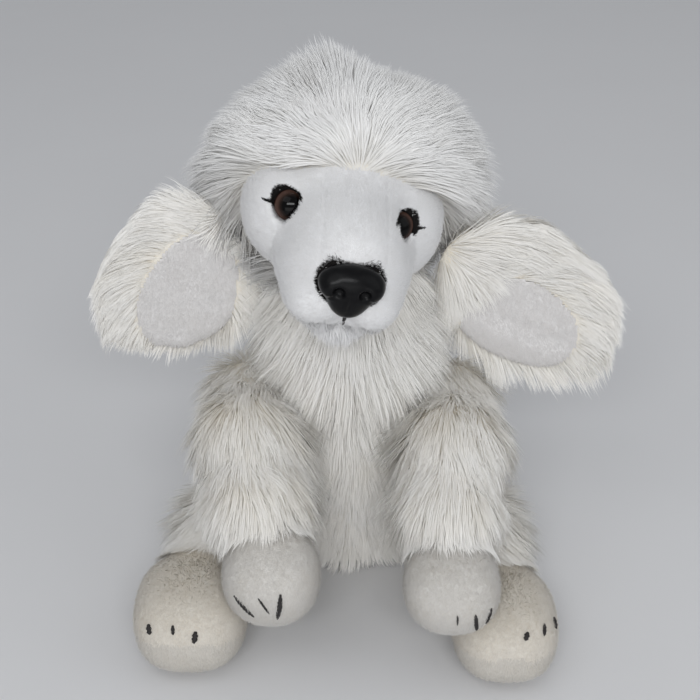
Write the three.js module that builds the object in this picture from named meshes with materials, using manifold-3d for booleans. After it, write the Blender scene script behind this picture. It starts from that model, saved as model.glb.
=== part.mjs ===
// A sitting plush dog with long soft fur, in millimetres, +Z up, facing -Y.
// The origin is the centre of the flat seat panel that it sits on.
// Soft pieces are fabric shells round stuffing. A long-pile shell has the thickness of its
// backing and of its fur when a hand rests on it. Limbs, neck, ears and tail are stitched on at
// round sockets, and each group below turns about its own stitched joint.

import * as THREE from 'three';
import * as BufferGeometryUtils from 'three/addons/utils/BufferGeometryUtils.js';
import Module from 'manifold-3d';

const wasm = await Module();
wasm.setup();

// ---- driving dimensions ----

const SEAM_GAP = 0.4; // between any two neighbouring pieces
const SHORT_PILE = 3; // thickness of the short-pile fabric on face, paws and feet
const LONG_PILE = 8; // thickness of the long fur on torso and limbs
const SOCKET_CLEARANCE = 2; // round a stitched joint

const TORSO_HEIGHT = 148;
const SEAT_THICKNESS = 4;
const SIDE_SEAM_Y = 6; // the plane of the torso's side seams
// one torso section a row: height, half width, front Y, back Y
const TORSO_SECTIONS = [
  [0, 38, -30, 36],
  [4, 43, -34, 41],
  [12, 46, -36.5, 45],
  [32, 47, -37, 46],
  [58, 43, -37, 43],
  [82, 36, -36, 38],
  [106, 31, -33, 34],
  [130, 29, -30, 31],
  [TORSO_HEIGHT, 26, -25, 28],
];

const PELLET_BAG = { centre: [0, 4, 15], radii: [17, 24, 9] };

const NECK_AXIS_Y = 2;
const NECK_BASE_RADIUS = 27;
const NECK_BALL_RADIUS = 26;
const NECK_WAIST_RADIUS = 22;
const NOD_PIVOT = [0, NECK_AXIS_Y, 184];

const HEAD_CENTRE = [-4.5, -2, 229];
const HEAD_YAW = 5; // degrees, towards +X
const HEAD_ROLL = 11; // degrees, right side up
const SKULL = { centre: [0, 0, 0], radii: [56, 49, 47] };
const MUZZLE = { centre: [0, -54, -20], radii: [30, 38, 25] };
const CHIN = { centre: [0, -54, -37], radii: [23, 24, 16] };
const HEAD_FUR = { centre: [0, 8, 8], radii: [70, 60, 58] };
const TOPKNOT = { centre: [-4, 2, 46], radii: [48, 44, 24] };
const MASK_EDGE_RADIUS = 75; // the face mask ends on an upright cylinder of this radius
const MASK_EDGE_FRONT_Y = -41;
const TOP_GUSSET_HALF_WIDTH = 26;
const FACE_GUSSET_HALF_WIDTH = 15;
const CHIN_SEAM_Z = -34;
const HEAD_RIM_Z = -46; // where the head fabric gathers round the neck

const EYE_RADIUS = 8;
const EYE_CENTRES = { right: [-30, -42, 2.8], left: [27.5, -42.5, 0.4] };
const EYE_DEPTH = 5.4;
const EYE_OUTWARD = [0.5, -0.86, 0.06];
const NOSE = { centre: [0, -88, -15], radii: [16, 8.5, 13] };
const POST_RADIUS = 2.5;
const WASHER_RADIUS = 8;
const WASHER_THICKNESS = 1.6;
const WASHER_DEPTH = 4.8; // behind the fabric
const DOME_BACK = 2; // how far an eye or nose sinks into the pile
const THREAD_RADIUS = 0.8;
const TOE_SPREAD = 0.34; // in parts of the paw's half width

const EAR_HINGE = [55, 6, -26]; // in the head's frame, mirrored for the right ear
const EAR_SEAM = { below: 34, above: 26 }; // how far the pocket for the ear's edge reaches
const EAR_POCKET_RADIUS = 7;
const EAR_THICKNESS = 7;
const EARS = {
  right: {
    side: -1,
    centre: [-92, -3, 176],
    length: 46,
    width: 37,
    slope: 54,
    lining: { at: [-89, 171], length: 31, width: 22, slope: 70 },
  },
  left: {
    side: 1,
    centre: [93, -3, 164],
    length: 52,
    width: 37,
    slope: 38,
    lining: { at: [94, 153], length: 31, width: 24.5, slope: 30 },
  },
};
const LINING_THICKNESS = 2.5;

const SHOULDER_RADIUS = 25;
// route points are from the shoulder's joint; the paw is a rounded block
const ARMS = {
  right: {
    shoulder: [-58, -2, 100],
    route: [[0, 0, 0], [2, -36, -4], [8, -70, -18], [12, -90, -36]],
    radii: [SHOULDER_RADIUS, 28, 25, 21],
    paw: { centre: [17, -104, -46], radii: [26.5, 27, 24], pitch: 25 },
    cuff: 0.72,
  },
  left: {
    shoulder: [58, -2, 98],
    route: [[0, 0, 0], [-1, -38, -6], [-4, -72, -20], [-5, -96, -38]],
    radii: [SHOULDER_RADIUS, 28, 25, 20],
    paw: { centre: [-5.5, -112, -44.5], radii: [26, 27, 20.5], pitch: 15 },
    cuff: 0.72,
  },
};

const HIP_RADIUS = 26;
const LEGS = {
  right: {
    hip: [-45, -6, 30],
    route: [[0, 0, 0], [-23, -30, 1], [-37, -62, -3]],
    radii: [HIP_RADIUS, 26, 24],
    paw: { centre: [-41, -92, -7], radii: [29, 34, 23], pitch: 0 },
    cuff: 0.9,
  },
  left: {
    hip: [45, -6, 30],
    route: [[0, 0, 0], [23, -30, 0], [36, -66, -6]],
    radii: [HIP_RADIUS, 25, 22],
    paw: { centre: [38.5, -98, -9.4], radii: [28, 34, 20.4], pitch: 0 },
    cuff: 0.9,
  },
};
const SOLE_SEAM = { forward: 0.9, up: 0.22, slope: 0.37 }; // in parts of the foot's radii
const LIMB_HOLE_RADIUS = 11; // where a limb's stuffing meets the torso's seam

const TAIL_ROOT = [0, 47, 36];
const TAIL_ROUTE = [[0, 0, 0], [0, 12, 6], [0, 21, 20], [0, 24, 36]];
const TAIL_RADII = [8, 9, 13, 14];

// ---- colours ----

const IVORY = 0xf3eee0;
const COOL_WHITE = 0xf3f3f2;
const WARM_WHITE = 0xf2ece1;
const CREAM = 0xefe6d2;
const SOLE_GREY = 0xcfc9bd;
const PINK_WHITE = 0xf3ebe8;
const FIBRE_WHITE = 0xf8f8f8;
const BLACK = 0x15130f;
const EYE_BROWN = 0x2a1709;
const WASHER_GREY = 0xb9bcc0;
const PELLET_BAG_GREY = 0xd9d4c8;

// ---- solids ----

function toSolid(geometry) {
  const bare = geometry.clone();
  bare.deleteAttribute('normal');
  bare.deleteAttribute('uv');
  const merged = BufferGeometryUtils.mergeVertices(bare, 1e-4);
  return new wasm.Manifold(new wasm.Mesh({
    numProp: 3,
    vertProperties: new Float32Array(merged.attributes.position.array),
    triVerts: new Uint32Array(merged.index.array),
  }));
}

function toGeometry(solid) {
  const mesh = solid.getMesh();
  const geometry = new THREE.BufferGeometry();
  geometry.setAttribute('position', new THREE.BufferAttribute(mesh.vertProperties, 3));
  geometry.setIndex(new THREE.BufferAttribute(mesh.triVerts, 1));
  geometry.computeVertexNormals();
  return geometry;
}

const union = (...solids) => solids.reduce((whole, solid) => whole.add(solid));
const without = (whole, ...cuts) => cuts.reduce((rest, cut) => rest.subtract(cut), whole);

// An ellipsoid, grown on all sides by grow, tipped about X by pitch degrees.
function ball({ centre, radii, pitch = 0 }, grow = 0, segments = 14) {
  const geometry = new THREE.SphereGeometry(1, segments, Math.round(segments * 0.6));
  geometry.rotateX(Math.PI / 2);
  geometry.scale(...radii.map((radius) => radius + grow));
  geometry.rotateX(THREE.MathUtils.degToRad(pitch));
  geometry.translate(...centre);
  return toSolid(geometry);
}

function block(low, high) {
  const size = high.map((value, index) => value - low[index]);
  const geometry = new THREE.BoxGeometry(...size);
  geometry.translate(...low.map((value, index) => value + size[index] / 2));
  return toSolid(geometry);
}

const FAR = 400;

// Everything on the side of the plane that normal points to.
function halfSpace(point, normal) {
  const geometry = new THREE.BoxGeometry(FAR, FAR, FAR);
  geometry.translate(0, 0, FAR / 2);
  const turn = new THREE.Quaternion();
  turn.setFromUnitVectors(new THREE.Vector3(0, 0, 1), new THREE.Vector3(...normal).normalize());
  geometry.applyQuaternion(turn);
  geometry.translate(...point);
  return toSolid(geometry);
}

function rod(from, to, radius, segments = 10) {
  const start = new THREE.Vector3(...from);
  const along = new THREE.Vector3(...to).sub(start);
  const geometry = new THREE.CylinderGeometry(radius, radius, along.length(), segments);
  geometry.translate(0, along.length() / 2, 0);
  const turn = new THREE.Quaternion();
  turn.setFromUnitVectors(new THREE.Vector3(0, 1, 0), along.normalize());
  geometry.applyQuaternion(turn);
  geometry.translate(...from);
  return toSolid(geometry);
}

// A closed skin through equal rings of points, with a pole at each end.
function loft(rings, firstPole, lastPole) {
  const count = rings[0].length;
  const points = [firstPole, ...rings.flat(), lastPole];
  const last = points.length - 1;
  const faces = [];
  for (let i = 0; i < count; i += 1) {
    const next = (i + 1) % count;
    faces.push(0, 1 + next, 1 + i);
    for (let ring = 0; ring + 1 < rings.length; ring += 1) {
      const base = 1 + ring * count;
      faces.push(base + i, base + next, base + count + next);
      faces.push(base + i, base + count + next, base + count + i);
    }
    faces.push(last, last - count + i, last - count + next);
  }
  const geometry = new THREE.BufferGeometry().setFromPoints(points);
  geometry.setIndex(faces);
  return toSolid(geometry);
}

// A stuffed limb: round sections along a smooth route, closed by round ends.
function limb(route, radii, grow = 0, segments = 12, steps = 5) {
  const curve = new THREE.CatmullRomCurve3(route.map((point) => new THREE.Vector3(...point)));
  const frames = curve.computeFrenetFrames(steps);
  const radiusAt = (t) => {
    const place = t * (radii.length - 1);
    const index = Math.min(Math.floor(place), radii.length - 2);
    return THREE.MathUtils.lerp(radii[index], radii[index + 1], place - index) + grow;
  };
  const ringAt = (centre, step, radius) => {
    const ring = [];
    for (let i = 0; i < segments; i += 1) {
      const angle = (i / segments) * Math.PI * 2;
      ring.push(centre.clone()
        .addScaledVector(frames.normals[step], Math.cos(angle) * radius)
        .addScaledVector(frames.binormals[step], Math.sin(angle) * radius));
    }
    return ring;
  };
  const capAngles = [30, 60].map(THREE.MathUtils.degToRad);
  const start = curve.getPointAt(0);
  const end = curve.getPointAt(1);
  const first = radiusAt(0);
  const last = radiusAt(1);
  const rings = capAngles.map((angle) => ringAt(
    start.clone().addScaledVector(frames.tangents[0], -first * Math.cos(angle)),
    0,
    first * Math.sin(angle),
  ));
  for (let step = 0; step <= steps; step += 1) {
    rings.push(ringAt(curve.getPointAt(step / steps), step, radiusAt(step / steps)));
  }
  capAngles.reverse().forEach((angle) => rings.push(ringAt(
    end.clone().addScaledVector(frames.tangents[steps], last * Math.cos(angle)),
    steps,
    last * Math.sin(angle),
  )));
  return loft(
    rings,
    start.clone().addScaledVector(frames.tangents[0], -first),
    end.clone().addScaledVector(frames.tangents[steps], last),
  );
}

function lathe(profile, segments = 14) {
  const geometry = new THREE.LatheGeometry(profile.map(([r, z]) => new THREE.Vector2(r, z)), segments);
  geometry.rotateX(Math.PI / 2);
  return toSolid(geometry);
}

function addPiece(group, name, solid, color, roughness = 1, metalness = 0) {
  const material = new THREE.MeshStandardMaterial({ color, roughness, metalness });
  const piece = new THREE.Mesh(toGeometry(solid), material);
  piece.name = name;
  group.add(piece);
}

// ---- torso ----

function torsoSolid(inset) {
  const segments = 20;
  const rings = TORSO_SECTIONS.map(([height, halfWidth, front, back]) => {
    const ring = [];
    const middle = (front + back) / 2;
    for (let i = 0; i < segments; i += 1) {
      const angle = (i / segments) * Math.PI * 2;
      ring.push(new THREE.Vector3(
        Math.cos(angle) * (halfWidth - inset),
        middle + Math.sin(angle) * ((back - front) / 2 - inset),
        height,
      ));
    }
    return ring;
  });
  return loft(rings, new THREE.Vector3(0, 3, 0), new THREE.Vector3(0, 1.5, TORSO_HEIGHT));
}

function buildTorso(group) {
  const sockets = [
    ...Object.values(ARMS).map(({ shoulder }) => ({ centre: shoulder, radius: SHOULDER_RADIUS })),
    ...Object.values(LEGS).map(({ hip }) => ({ centre: hip, radius: HIP_RADIUS })),
    { centre: TAIL_ROOT, radius: TAIL_RADII[0] },
  ].map(({ centre, radius }) => ball({ centre, radii: [radius, radius, radius] }, SOCKET_CLEARANCE));

  const outside = without(torsoSolid(0), ...sockets);
  const hollow = torsoSolid(LONG_PILE);
  const seat = outside.intersect(halfSpace([0, 0, SEAT_THICKNESS], [0, 0, -1]));
  const walls = without(outside, hollow)
    .intersect(halfSpace([0, 0, SEAT_THICKNESS + SEAM_GAP], [0, 0, 1]));
  const back = walls.intersect(halfSpace([0, SIDE_SEAM_Y + SEAM_GAP / 2, 0], [0, 1, 0]));
  const belly = walls.intersect(halfSpace([0, SIDE_SEAM_Y - SEAM_GAP / 2, 0], [0, -1, 0]));

  const bag = ball(PELLET_BAG);
  const stuffing = without(
    torsoSolid(LONG_PILE + SEAM_GAP),
    ...sockets,
    ball(PELLET_BAG, SEAM_GAP),
    halfSpace([0, 0, PELLET_BAG.centre[2]], [0, 0, -1]),
  );
  addPiece(group, 'torso_back_panel', back, IVORY);
  addPiece(group, 'torso_belly_panel', belly, IVORY);
  addPiece(group, 'seat_panel', seat, IVORY);
  addPiece(group, 'torso_stuffing', stuffing, FIBRE_WHITE);
  addPiece(group, 'seat_pellet_bag', bag, PELLET_BAG_GREY);
}

// ---- neck ----

function buildNeck(group) {
  const base = TORSO_HEIGHT + SEAM_GAP - NOD_PIVOT[2];
  const wall = LONG_PILE;
  const ballProfile = (radius, from) => {
    const points = [];
    for (let angle = from; angle <= 90; angle += 21) {
      const turn = THREE.MathUtils.degToRad(angle);
      points.push([Math.max(0, Math.cos(turn) * radius), Math.sin(turn) * radius]);
    }
    return points;
  };
  const outside = lathe([
    [0, base],
    [NECK_BASE_RADIUS, base],
    [NECK_BASE_RADIUS - 2, base + 12],
    [NECK_WAIST_RADIUS, -12],
    ...ballProfile(NECK_BALL_RADIUS, -15),
  ]);
  const core = (grow) => lathe([
    [0, base],
    [NECK_BASE_RADIUS - wall + grow, base],
    [NECK_BASE_RADIUS - wall - 2 + grow, base + 12],
    [NECK_WAIST_RADIUS - wall + grow, -12],
    [NECK_WAIST_RADIUS - wall + grow, NECK_BALL_RADIUS - wall],
    [0, NECK_BALL_RADIUS - wall + grow],
  ]);
  const mouth = block([-FAR, -FAR, -FAR], [FAR, FAR, base + 0.01]);
  addPiece(group, 'neck_sleeve', without(outside, core(SEAM_GAP), mouth), IVORY);
  addPiece(group, 'neck_stuffing', core(0), FIBRE_WHITE);
}

// ---- head ----

// A moulded eye or nose on a post, with its locking washer, along +Z from the fabric.
function postAndWasher(grow) {
  const washerTop = -SHORT_PILE - WASHER_DEPTH;
  return {
    post: rod([0, 0, washerTop - WASHER_THICKNESS - 4], [0, 0, 1], POST_RADIUS + grow),
    washer: lathe([
      [POST_RADIUS + SEAM_GAP - grow, washerTop + grow],
      [WASHER_RADIUS + grow, washerTop + grow],
      [WASHER_RADIUS + grow, washerTop - WASHER_THICKNESS - grow],
      [POST_RADIUS + SEAM_GAP - grow, washerTop - WASHER_THICKNESS - grow],
      [POST_RADIUS + SEAM_GAP - grow, washerTop + grow],
    ].reverse()),
    pocket: rod([0, 0, washerTop - WASHER_THICKNESS - 5], [0, 0, -1], WASHER_RADIUS + 1),
  };
}

const matrixAt = (place, direction) => {
  const turn = new THREE.Quaternion();
  turn.setFromUnitVectors(new THREE.Vector3(0, 0, 1), new THREE.Vector3(...direction).normalize());
  return new THREE.Matrix4().compose(new THREE.Vector3(...place), turn, new THREE.Vector3(1, 1, 1));
};

const moved = (solid, matrix) => {
  const geometry = toGeometry(solid);
  geometry.applyMatrix4(matrix);
  geometry.deleteAttribute('normal');
  return toSolid(geometry);
};

function buildFaceHardware(group) {
  const cuts = { face: [], stuffing: [] };
  const dome = (radii, grow, segments) => ball({ centre: [0, 0, 0], radii }, grow, segments)
    .intersect(halfSpace([0, 0, -DOME_BACK - grow], [0, 0, 1]));
  const eyeDome = (grow) => dome([EYE_RADIUS, EYE_RADIUS, EYE_DEPTH], grow, 12);
  const place = (name, shape, matrix, color, roughness) => {
    const tight = postAndWasher(0);
    const loose = postAndWasher(SEAM_GAP);
    addPiece(group, name, moved(union(shape(0), tight.post), matrix), color, roughness);
    addPiece(group, `${name}_washer`, moved(tight.washer, matrix), WASHER_GREY, 0.5);
    cuts.face.push(moved(union(shape(SEAM_GAP), loose.post), matrix));
    cuts.stuffing.push(moved(union(shape(SEAM_GAP), tight.pocket), matrix));
  };
  [['right', -1], ['left', 1]].forEach(([side, sign]) => {
    const [outX, outY, outZ] = EYE_OUTWARD;
    const seat = matrixAt(EYE_CENTRES[side], [sign * outX, outY, outZ]);
    place(`eye_${side}`, eyeDome, seat, EYE_BROWN, 0.1);
  });
  const noseDome = (grow) => {
    const [width, depth, height] = NOSE.radii;
    return dome([width, height, depth], grow, 14);
  };
  place('nose', noseDome, matrixAt(NOSE.centre, [0, -1, 0]), BLACK, 0.15);
  return cuts;
}

function buildHead(group, pivotInHead) {
  const skin = (inset) => union(ball(SKULL, -inset, 18), ball(MUZZLE, -inset), ball(CHIN, -inset, 12));
  const fur = union(ball(HEAD_FUR, 0, 18), ball(TOPKNOT));
  const rear = (grow) => {
    const axisY = MASK_EDGE_FRONT_Y + MASK_EDGE_RADIUS;
    return rod([0, axisY, -FAR / 2], [0, axisY, FAR / 2], MASK_EDGE_RADIUS + grow, 32);
  };
  const socketRadius = NECK_BALL_RADIUS + SOCKET_CLEARANCE;
  const socket = ball({ centre: pivotInHead, radii: [socketRadius, socketRadius, socketRadius] });
  const earPockets = [-1, 1].map((sign) => {
    const [x, y, z] = EAR_HINGE;
    const low = [sign * x, y, z - EAR_SEAM.below];
    const high = [sign * x, y, z + EAR_SEAM.above];
    return rod(low, high, EAR_POCKET_RADIUS);
  });
  const belowRim = halfSpace([0, 0, HEAD_RIM_Z], [0, 0, -1]);
  const cuts = buildFaceHardware(group);

  const panels = without(fur.intersect(rear(0)), skin(SHORT_PILE), socket, belowRim, ...earPockets);
  const edge = TOP_GUSSET_HALF_WIDTH;
  const gusset = panels.intersect(block([-edge, -FAR, -FAR], [edge, FAR, FAR]));
  addPiece(group, 'head_top_gusset', gusset, COOL_WHITE);
  const outer = edge + SEAM_GAP;
  addPiece(group, 'head_side_right', panels.intersect(halfSpace([-outer, 0, 0], [-1, 0, 0])), IVORY);
  addPiece(group, 'head_side_left', panels.intersect(halfSpace([outer, 0, 0], [1, 0, 0])), IVORY);

  const mask = without(skin(0), rear(SEAM_GAP), skin(SHORT_PILE), socket, ...cuts.face);
  const upper = mask.intersect(halfSpace([0, 0, CHIN_SEAM_Z + SEAM_GAP], [0, 0, 1]));
  const bridge = FACE_GUSSET_HALF_WIDTH;
  const middle = upper.intersect(block([-bridge, -FAR, -FAR], [bridge, FAR, FAR]));
  addPiece(group, 'face_gusset', middle, COOL_WHITE);
  const cheek = bridge + SEAM_GAP;
  const right = upper.intersect(halfSpace([-cheek, 0, 0], [-1, 0, 0]));
  const left = upper.intersect(halfSpace([cheek, 0, 0], [1, 0, 0]));
  addPiece(group, 'face_cheek_right', right, COOL_WHITE);
  addPiece(group, 'face_cheek_left', left, COOL_WHITE);
  addPiece(group, 'chin_panel', mask.intersect(halfSpace([0, 0, CHIN_SEAM_Z], [0, 0, -1])), COOL_WHITE);

  const stuffing = without(skin(SHORT_PILE + SEAM_GAP), socket, ...cuts.stuffing);
  addPiece(group, 'head_stuffing', stuffing, FIBRE_WHITE);

  const thread = (name, points) => {
    const curve = new THREE.CatmullRomCurve3(points.map((point) => new THREE.Vector3(...point)));
    const section = new THREE.Shape().absarc(0, 0, THREAD_RADIUS, 0, Math.PI * 2);
    const geometry = new THREE.ExtrudeGeometry(section, { steps: 6, curveSegments: 2, extrudePath: curve });
    addPiece(group, name, toSolid(geometry), BLACK);
  };
  thread('philtrum_stitch', [[0, -93.6, -28.5], [0, -91.5, -33], [0, -87, -38]]);
  thread('mouth_stitch', [
    [-13, -81, -43],
    [-7, -84.5, -41.5],
    [0, -86, -40.4],
    [7, -84.5, -41.5],
    [13, -81, -43],
  ]);
}

// ---- ears ----

function buildEar(group, name, ear, hinge) {
  const padAt = (centre, length, width, thickness, slope) => {
    const geometry = new THREE.SphereGeometry(1, 16, 8);
    geometry.rotateX(Math.PI / 2);
    geometry.rotateX(Math.PI / 2);
    geometry.scale(length, thickness, width);
    geometry.rotateY(ear.side * THREE.MathUtils.degToRad(slope));
    geometry.translate(...centre);
    return toSolid(geometry);
  };
  const centre = ear.centre.map((value, index) => value - hinge[index]);
  const face = centre[1] - EAR_THICKNESS;
  const { at, length, width, slope } = ear.lining;
  const liningCentre = [at[0] - hinge[0], face + LINING_THICKNESS, at[1] - hinge[2]];
  const liningAt = (grow) => {
    return padAt(liningCentre, length + grow, width + grow, LINING_THICKNESS + grow, slope);
  };
  const lining = liningAt(0);
  const fur = without(padAt(centre, ear.length, ear.width, EAR_THICKNESS, ear.slope), liningAt(SEAM_GAP));
  addPiece(group, `${name}_fur`, fur, IVORY);
  addPiece(group, `${name}_lining`, lining, PINK_WHITE);
}

// ---- front and hind legs ----

// A stitched toe line over the front of a paw, on its short-pile cover.
function toeStitches(group, name, paw, heights) {
  const [x, y, z] = paw.centre;
  const [halfWidth, halfLength, halfHeight] = paw.radii;
  [-1, 0, 1].forEach((column, index) => {
    const points = heights.map((height) => {
      const across = column * TOE_SPREAD;
      const forward = Math.sqrt(Math.max(0, 1 - across ** 2 - height ** 2));
      const place = new THREE.Vector3(across * halfWidth, -forward * halfLength, height * halfHeight);
      const lift = place.clone().normalize().multiplyScalar(SEAM_GAP + THREAD_RADIUS);
      return place.add(lift).applyAxisAngle(new THREE.Vector3(1, 0, 0), THREE.MathUtils.degToRad(paw.pitch))
        .add(new THREE.Vector3(x, y, z));
    });
    const curve = new THREE.CatmullRomCurve3(points);
    const section = new THREE.Shape().absarc(0, 0, THREAD_RADIUS, 0, Math.PI * 2);
    const geometry = new THREE.ExtrudeGeometry(section, { steps: 2, curveSegments: 2, extrudePath: curve });
    addPiece(group, `${name}_${index + 1}`, toSolid(geometry), BLACK);
  });
}

function buildLimb(group, name, cover, spec, inward, color, hasSole) {
  const outerLimb = limb(spec.route, spec.radii);
  const innerLimb = (grow) => limb(spec.route, spec.radii, grow - LONG_PILE - SEAM_GAP);
  const outerPaw = ball(spec.paw);
  const innerPaw = (grow) => ball(spec.paw, grow - SHORT_PILE - SEAM_GAP);
  const route = spec.route.map((point) => new THREE.Vector3(...point));
  const wrist = route[route.length - 1];
  const before = route[route.length - 2];
  const seam = before.clone().lerp(wrist, spec.cuff);
  const along = wrist.clone().sub(before).normalize();
  const pawSide = halfSpace(seam.toArray(), along.toArray());
  const sleeveEnd = seam.clone().addScaledVector(along, -SEAM_GAP);
  const sleeveSide = halfSpace(sleeveEnd.toArray(), along.clone().negate().toArray());
  const hole = rod([0, 0, 0], inward.map((value) => value * HIP_RADIUS * 1.5), LIMB_HOLE_RADIUS);
  const inside = (grow) => union(innerLimb(grow), innerPaw(grow));

  addPiece(group, `${name}_sleeve`, without(outerLimb, inside(SEAM_GAP), hole).intersect(sleeveSide), IVORY);
  const pawSkin = union(outerPaw, innerLimb(SHORT_PILE + SEAM_GAP));
  const shell = without(pawSkin, inside(SEAM_GAP)).intersect(pawSide);
  if (hasSole) {
    const { forward, up, slope } = SOLE_SEAM;
    const seamY = spec.paw.centre[1] - spec.paw.radii[1] * forward;
    const seamZ = spec.paw.centre[2] + spec.paw.radii[2] * up;
    const coverSide = halfSpace([0, seamY, seamZ + SEAM_GAP], [0, slope, 1]);
    const soleSide = halfSpace([0, seamY, seamZ], [0, -slope, -1]);
    addPiece(group, `${cover}_cover`, shell.intersect(coverSide), color);
    addPiece(group, `${cover}_sole`, shell.intersect(soleSide), SOLE_GREY);
  } else {
    addPiece(group, `${cover}_cover`, shell, color);
  }
  addPiece(group, `${name}_stuffing`, inside(0), FIBRE_WHITE);
}

// ---- tail ----

function buildTail(group) {
  const hole = rod([0, 0, 0], [0, -40, -10], 3);
  const core = (grow) => limb(TAIL_ROUTE, TAIL_RADII.map((radius) => radius * 0.5), grow, 8, 4);
  addPiece(group, 'tail_fur', without(limb(TAIL_ROUTE, TAIL_RADII, 0, 10, 5), core(SEAM_GAP), hole), IVORY);
  addPiece(group, 'tail_stuffing', core(0), FIBRE_WHITE);
}

// ---- the whole dog ----

function bodyAt(parent, position) {
  const group = new THREE.Group();
  group.position.set(...position);
  parent.add(group);
  return group;
}

const dog = new THREE.Group();
buildTorso(dog);
buildNeck(bodyAt(dog, NOD_PIVOT));

const head = bodyAt(dog, HEAD_CENTRE);
head.rotation.set(0, THREE.MathUtils.degToRad(HEAD_ROLL), THREE.MathUtils.degToRad(HEAD_YAW), 'ZYX');
head.updateMatrixWorld(true);
buildHead(head, head.worldToLocal(new THREE.Vector3(...NOD_PIVOT)).toArray());

Object.entries(EARS).forEach(([side, ear]) => {
  const [x, y, z] = EAR_HINGE;
  const hinge = head.localToWorld(new THREE.Vector3(ear.side * x, y, z)).toArray();
  buildEar(bodyAt(dog, hinge), `ear_${side}`, ear, hinge);
});

Object.entries(ARMS).forEach(([side, arm]) => {
  const group = bodyAt(dog, arm.shoulder);
  const inward = [-Math.sign(arm.shoulder[0]), 0, 0];
  buildLimb(group, `arm_${side}`, `paw_${side}`, arm, inward, WARM_WHITE, false);
  toeStitches(group, `paw_${side}_claw_stitch`, arm.paw, [-0.1, 0.15, 0.4]);
});

Object.entries(LEGS).forEach(([side, leg]) => {
  const group = bodyAt(dog, leg.hip);
  const inward = [-Math.sign(leg.hip[0]), 0.4, 0];
  buildLimb(group, `leg_${side}`, `foot_${side}`, leg, inward, CREAM, true);
  toeStitches(group, `foot_${side}_toe_stitch`, leg.paw, [0.4, 0.53, 0.66]);
});

buildTail(bodyAt(dog, TAIL_ROOT));

export default dog;
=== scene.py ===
import math

import bpy
import numpy as np
from mathutils import Matrix, Vector
from mathutils.kdtree import KDTree


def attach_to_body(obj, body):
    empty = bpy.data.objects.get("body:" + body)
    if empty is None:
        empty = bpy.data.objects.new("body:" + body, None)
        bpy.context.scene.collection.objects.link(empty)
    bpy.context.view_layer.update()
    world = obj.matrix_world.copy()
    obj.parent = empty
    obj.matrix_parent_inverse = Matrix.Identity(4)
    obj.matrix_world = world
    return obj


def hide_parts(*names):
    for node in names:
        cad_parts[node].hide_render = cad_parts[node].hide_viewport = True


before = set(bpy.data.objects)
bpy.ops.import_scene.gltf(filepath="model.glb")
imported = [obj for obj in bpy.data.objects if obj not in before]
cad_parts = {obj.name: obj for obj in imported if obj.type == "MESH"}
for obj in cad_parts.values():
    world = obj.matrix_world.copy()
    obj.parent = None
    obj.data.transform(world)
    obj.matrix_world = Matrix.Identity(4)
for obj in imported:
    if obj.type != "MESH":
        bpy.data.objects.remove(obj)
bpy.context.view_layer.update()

# Everything below is modelled in millimetres in the frame of the part. mesh_object() scales it to metres.
MM = 0.001
DENSITY = 1.0  # the share of the strands that is made
STRAND_WIDTH = 1.0
LONG_DENSITY = 1.5  # long strands for each square millimetre of cloth, before each fur's own factor
rng = np.random.default_rng(20)

SKIN_DEPTH = 6.6  # how far the backing cloth lies inside the long fur's solid
SHORT_DEPTH = 1.4  # the same for the short pile
FLOOR_GAP = 0.7  # the lowest strands stay this far over the floor

HEAD_CENTRE = np.array([-4.5, -2.0, 229.0])
HEAD_TURN = np.array(Matrix.Rotation(math.radians(5), 3, "Z") @ Matrix.Rotation(math.radians(11), 3, "Y"))
MASK_EDGE_RADIUS = 75.0
MASK_EDGE_CENTRE_Y = -41.0 + MASK_EDGE_RADIUS
TOP_GUSSET_HALF_WIDTH = 26.0
FACE_GUSSET_HALF_WIDTH = 15.5
CHIN_SEAM_Z = -35.0
# eyes, nose and masks are in the head's own frame, which has its origin at HEAD_CENTRE
EYES = {"right": np.array([-30.0, -42.0, 2.8]), "left": np.array([24.8, -46.4, 1.8])}
EYE_RADIUS, EYE_BULGE = 8.0, 5.6
SOCKET_SHIFT = {"right": 1.2, "left": -1.6}  # outwards from the eye
SOCKET_DEPTH = {"right": 8.4, "left": 14.0}
EYE_GAZE = np.array([0.20, -0.86, 0.40])  # for the left eye: outwards, forwards and up
NOSE_CENTRE = np.array([0.0, -89.0, -15.0])
SIDE_SEAM_Y = 6.0
TORSO_HEIGHT = 148.0
TORSO_Z = [0, 4, 12, 32, 58, 82, 106, 130, 148]
TORSO_HALF_WIDTH = [38, 43, 46, 47, 43, 36, 31, 29, 26]
TORSO_FRONT = [-30, -34, -36.5, -37, -37, -36, -33, -30, -25]
TORSO_BACK = [36, 41, 45, 46, 43, 38, 34, 31, 28]

ARMS = {
    "right": dict(
        joint=(-58, -2, 100), route=[(0, 0, 0), (2, -36, -4), (8, -70, -18), (12, -90, -36)],
        radii=[25, 28, 25, 21], paw=(17, -104, -46), paw_radii=(26.5, 27, 24), pitch=25, power=2.25),
    "left": dict(
        joint=(58, -2, 98), route=[(0, 0, 0), (-1, -38, -6), (-4, -72, -20), (-5, -96, -38)],
        radii=[25, 28, 25, 20], paw=(-5.5, -112, -44.5), paw_radii=(26, 27, 20.5), pitch=15, power=2.25),
}
LEGS = {
    "right": dict(
        joint=(-45, -6, 30), route=[(0, 0, 0), (-23, -30, 1), (-37, -62, -3)],
        radii=[26, 26, 24], paw=(-40, -93, -7), paw_radii=(31, 36, 24), pitch=0, power=2.6),
    "left": dict(
        joint=(45, -6, 30), route=[(0, 0, 0), (23, -30, 0), (36, -66, -6)],
        radii=[26, 25, 22], paw=(37, -99, -9.2), paw_radii=(29, 37, 21.8), pitch=0, power=2.6),
}
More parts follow.
